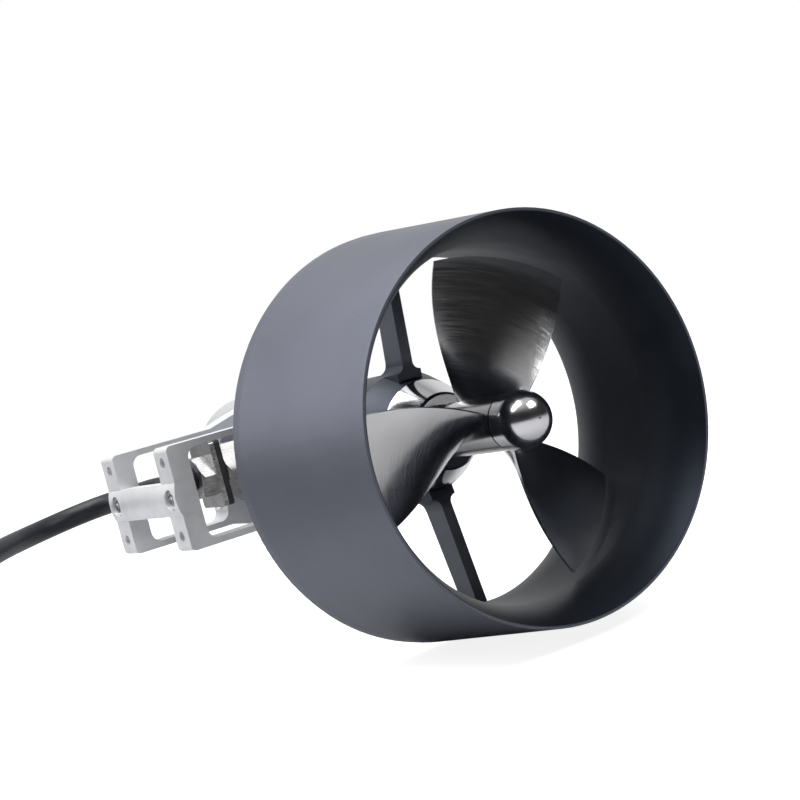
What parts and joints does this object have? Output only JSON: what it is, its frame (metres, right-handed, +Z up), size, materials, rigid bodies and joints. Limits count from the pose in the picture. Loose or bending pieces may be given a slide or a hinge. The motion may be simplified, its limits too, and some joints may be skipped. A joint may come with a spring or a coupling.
{
  "type": "underwater thruster",
  "caption": "Ducted underwater thruster: screw propeller in a flared ring duct on two struts, sealed motor, two saddle plates with a tie bar, side cable gland and cable.",
  "frame": {"origin": "centre of the four mounting holes, on the end faces of the bracket's plates", "axes": "+X along the shaft towards the duct's outlet and the propeller's nose cap, -Y out of the mounting face, +Z up"},
  "size_m": [0.2584, 0.3588, 0.152],
  "materials": {
    "duct_coat": "matt blue-grey hard anodising",
    "strut_coat": "matt black anodising",
    "polished_steel": "polished stainless steel",
    "blade_steel": "polished stainless casting, finely ground along the blades",
    "nose_steel": "mirror-polished stainless steel",
    "can_coat": "matt blue-grey hard anodising",
    "cap_steel": "bright turned stainless steel",
    "bracket_alloy": "clear-anodised, bead-blasted",
    "screw_steel": "bright stainless steel",
    "gland_steel": "nickel-plated, dull",
    "seal_rubber": "matt black",
    "cable_jacket": "matt black jacket",
    "plug_rubber": "moulded, matt black",
    "plug_shell": "ribbed, black",
    "contact_gold": "gold-plated",
    "washer_plastic": "black",
    "core_steel": "laminated, dark",
    "copper": "enamelled copper wire",
    "bearing_steel": "ground",
    "magnet_plate": "nickel-plated magnets"
  },
  "bodies": {
    "housing": {"duct": "duct_coat", "strut_frame": "strut_coat", "foot_screws": "screw_steel", "set_screws": "screw_steel", "front_housing": "polished_steel", "motor_can": "can_coat", "rear_cap": "cap_steel", "rear_cap_screws": "screw_steel", "o_rings": "seal_rubber", "stator_core": "core_steel", "stator_windings": "copper", "bearing_outer_races": "bearing_steel", "bearing_balls": "bearing_steel", "shaft_seal": "seal_rubber", "bracket_front_plate": "bracket_alloy", "bracket_rear_plate": "bracket_alloy", "tie_bar": "bracket_alloy", "bar_screws": "screw_steel", "saddle_screws": "screw_steel", "gland_body": "gland_steel", "gland_seal": "seal_rubber", "gland_collar": "gland_steel", "gland_nut": "gland_steel", "gland_grommet": "seal_rubber", "cable_tube": "cable_jacket", "cable_coil": "cable_jacket", "plug_body": "plug_rubber", "plug_sleeve": "plug_shell", "plug_pins": "contact_gold"},
    "rotor": {"propeller": "blade_steel", "nose_cap": "nose_steel", "prop_washer": "washer_plastic", "shaft": "polished_steel", "drive_pin": "bearing_steel", "rotor_core": "core_steel", "rotor_magnets": "magnet_plate", "bearing_inner_races": "bearing_steel"}
  },
  "joints": [
    {"name": "prop_spin", "type": "hinge", "parent": "housing", "child": "rotor", "pos_m": [0.12, 0.0815, 0], "axis": [1, 0, 0], "continuous": true}
  ]
}
